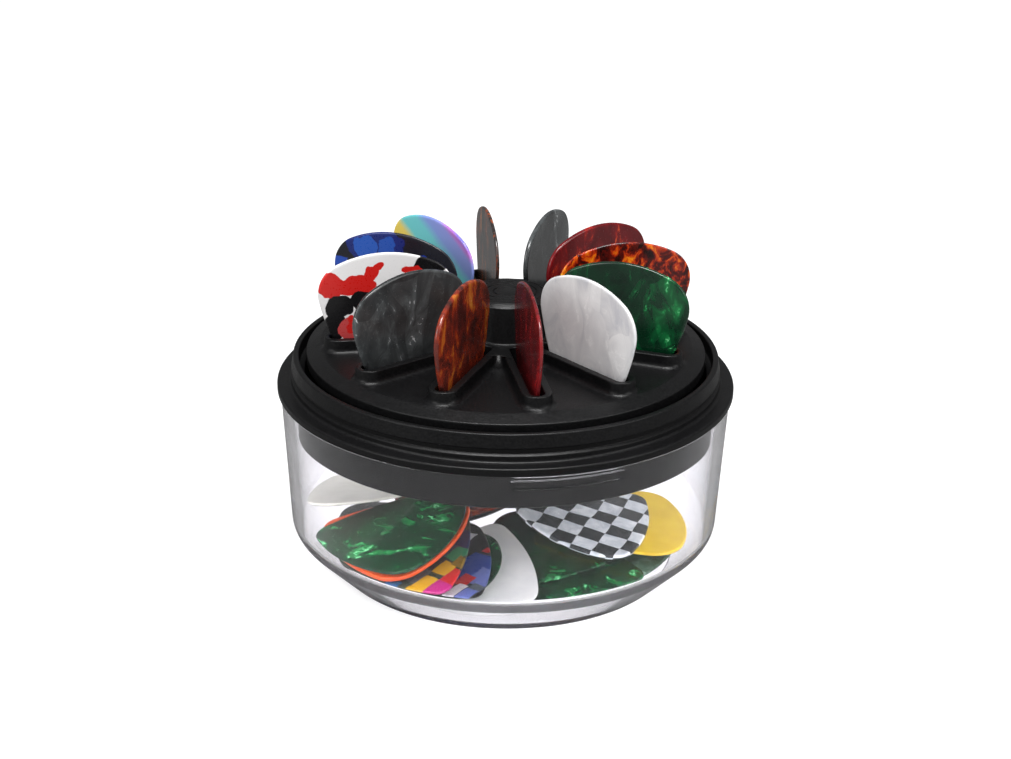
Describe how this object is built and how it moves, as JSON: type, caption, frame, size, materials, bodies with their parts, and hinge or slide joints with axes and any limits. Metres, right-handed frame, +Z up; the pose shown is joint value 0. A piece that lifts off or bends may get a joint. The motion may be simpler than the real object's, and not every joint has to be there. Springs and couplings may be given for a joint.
{
  "type": "guitar pick holder",
  "caption": "Round clear bowl with a black lift-off lid whose turning carousel holds guitar picks upright in radial slots, with more picks lying loose in the bowl.",
  "frame": {"origin": "centre of the bowl's flat foot, on the surface it stands on", "axes": "+Z up along the common axis of bowl, lid and carousel; -Y is the front"},
  "size_m": [0.0892, 0.0892, 0.0639],
  "materials": {
    "clear_plastic": "clear, water-white, polished",
    "black_plastic": "fine spark-textured matt black",
    "seal_silicone": "smooth matt",
    "steel": "zinc-plated",
    "acetal": "smooth natural",
    "tortoise": "polished dark celluloid with amber streaks",
    "amber_tortoise": "polished orange and black celluloid",
    "brown_tortoise": "polished grey-brown celluloid",
    "red_pearl": "polished translucent red pearl",
    "dark_red": "polished plain dark red",
    "white_pearl": "polished white pearl",
    "green_pearl": "polished green pearl",
    "grey_pearl": "polished black and grey pearl",
    "blue_pearl": "polished dark blue pearl",
    "iridescent": "iridescent foil bands",
    "patchwork": "white with red and black patches",
    "orange": "plain satin orange",
    "cream": "plain satin cream",
    "white": "plain gloss white",
    "yellow": "plain satin yellow",
    "colour_patches": "patches of several colours",
    "check": "black and white chequered",
    "grey": "plain dark grey",
    "pale_blue": "plain satin pale blue"
  },
  "bodies": {
    "bowl": {"bowl": "clear_plastic", "loose_pick_grey": "grey", "loose_pick_green_front": "green_pearl", "loose_pick_green_middle": "green_pearl", "loose_pick_yellow": "yellow", "loose_pick_check": "check", "loose_pick_red": "red_pearl", "loose_pick_white": "white", "loose_pick_dark_green": "green_pearl", "loose_pick_patch_blue": "colour_patches", "loose_pick_patch_yellow": "colour_patches", "loose_pick_orange": "orange", "loose_pick_green_left": "green_pearl", "loose_pick_dark": "grey_pearl", "loose_pick_cream": "cream", "loose_pick_blue": "blue_pearl", "loose_pick_amber": "amber_tortoise", "loose_pick_dark_red": "dark_red", "loose_pick_tortoise": "tortoise", "loose_pick_pale_blue": "pale_blue"},
    "lid": {"lid": "black_plastic", "seal_ring": "seal_silicone", "glide_washer": "acetal", "retaining_washer": "steel", "pivot_screw": "steel"},
    "carousel": {"carousel": "black_plastic", "hub_cap": "black_plastic"},
    "slot_pick_01_tortoise": {"slot_pick_01_tortoise": "tortoise"},
    "slot_pick_02_red_pearl": {"slot_pick_02_red_pearl": "red_pearl"},
    "slot_pick_03_white_pearl": {"slot_pick_03_white_pearl": "white_pearl"},
    "slot_pick_04_green_pearl": {"slot_pick_04_green_pearl": "green_pearl"},
    "slot_pick_05_amber_tortoise": {"slot_pick_05_amber_tortoise": "amber_tortoise"},
    "slot_pick_06_dark_red": {"slot_pick_06_dark_red": "dark_red"},
    "slot_pick_07_grey_pearl": {"slot_pick_07_grey_pearl": "grey_pearl"},
    "slot_pick_08_brown_tortoise": {"slot_pick_08_brown_tortoise": "brown_tortoise"},
    "slot_pick_09_iridescent": {"slot_pick_09_iridescent": "iridescent"},
    "slot_pick_10_blue_pearl": {"slot_pick_10_blue_pearl": "blue_pearl"},
    "slot_pick_11_patchwork": {"slot_pick_11_patchwork": "patchwork"},
    "slot_pick_12_grey_pearl": {"slot_pick_12_grey_pearl": "grey_pearl"}
  },
  "joints": [
    {"name": "lid_lift", "type": "slide", "parent": "bowl", "child": "lid", "axis": [0, 0, 1], "range_m": [0, 0.08]},
    {"name": "carousel_spin", "type": "hinge", "parent": "lid", "child": "carousel", "pos_m": [0, 0, 0.044], "axis": [0, 0, 1], "continuous": true},
    {"name": "pick_01_tortoise_lift", "type": "slide", "parent": "carousel", "child": "slot_pick_01_tortoise", "axis": [0, 0, 1], "range_m": [0, 0.032]},
    {"name": "pick_02_red_pearl_lift", "type": "slide", "parent": "carousel", "child": "slot_pick_02_red_pearl", "axis": [0, 0, 1], "range_m": [0, 0.032]},
    {"name": "pick_03_white_pearl_lift", "type": "slide", "parent": "carousel", "child": "slot_pick_03_white_pearl", "axis": [0, 0, 1], "range_m": [0, 0.032]},
    {"name": "pick_04_green_pearl_lift", "type": "slide", "parent": "carousel", "child": "slot_pick_04_green_pearl", "axis": [0, 0, 1], "range_m": [0, 0.032]},
    {"name": "pick_05_amber_tortoise_lift", "type": "slide", "parent": "carousel", "child": "slot_pick_05_amber_tortoise", "axis": [0, 0, 1], "range_m": [0, 0.032]},
    {"name": "pick_06_dark_red_lift", "type": "slide", "parent": "carousel", "child": "slot_pick_06_dark_red", "axis": [0, 0, 1], "range_m": [0, 0.032]},
    {"name": "pick_07_grey_pearl_lift", "type": "slide", "parent": "carousel", "child": "slot_pick_07_grey_pearl", "axis": [0, 0, 1], "range_m": [0, 0.032]},
    {"name": "pick_08_brown_tortoise_lift", "type": "slide", "parent": "carousel", "child": "slot_pick_08_brown_tortoise", "axis": [0, 0, 1], "range_m": [0, 0.032]},
    {"name": "pick_09_iridescent_lift", "type": "slide", "parent": "carousel", "child": "slot_pick_09_iridescent", "axis": [0, 0, 1], "range_m": [0, 0.032]},
    {"name": "pick_10_blue_pearl_lift", "type": "slide", "parent": "carousel", "child": "slot_pick_10_blue_pearl", "axis": [0, 0, 1], "range_m": [0, 0.032]},
    {"name": "pick_11_patchwork_lift", "type": "slide", "parent": "carousel", "child": "slot_pick_11_patchwork", "axis": [0, 0, 1], "range_m": [0, 0.032]},
    {"name": "pick_12_grey_pearl_lift", "type": "slide", "parent": "carousel", "child": "slot_pick_12_grey_pearl", "axis": [0, 0, 1], "range_m": [0, 0.032]}
  ]
}
